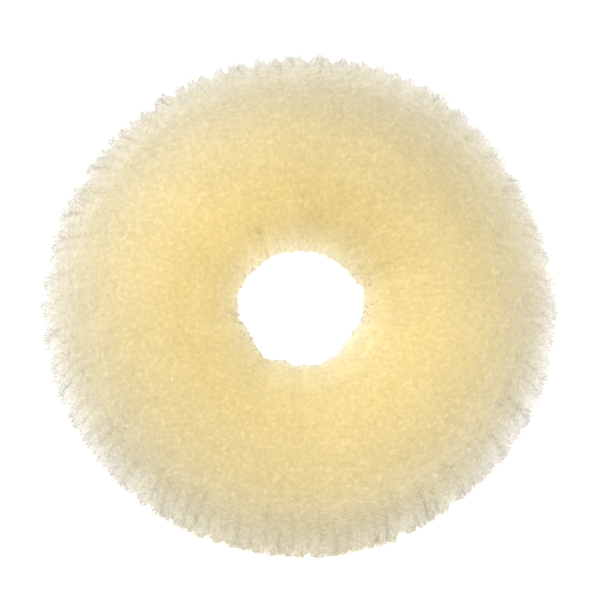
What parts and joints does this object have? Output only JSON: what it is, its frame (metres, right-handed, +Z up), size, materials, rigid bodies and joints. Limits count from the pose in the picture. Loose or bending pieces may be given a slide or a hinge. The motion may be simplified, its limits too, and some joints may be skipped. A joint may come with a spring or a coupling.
{
  "type": "hair donut bun maker",
  "caption": "Soft ring of knitted mesh, rolled and gathered into a donut with a hole through its middle, that a ponytail goes through and wraps over to make a bun.",
  "frame": {"origin": "middle of the ring's outline, on the surface that it lies on", "axes": "+Z up through the hole, +X to the right and +Y away from the viewer as the picture shows it"},
  "size_m": [0.089, 0.089, 0.0321],
  "materials": {
    "nylon_mesh": "blonde, half clear knitted nylon thread, matt as a mass, with small glints on the loops"
  },
  "bodies": {
    "root": {"mesh_ring": "nylon_mesh"}
  },
  "joints": []
}
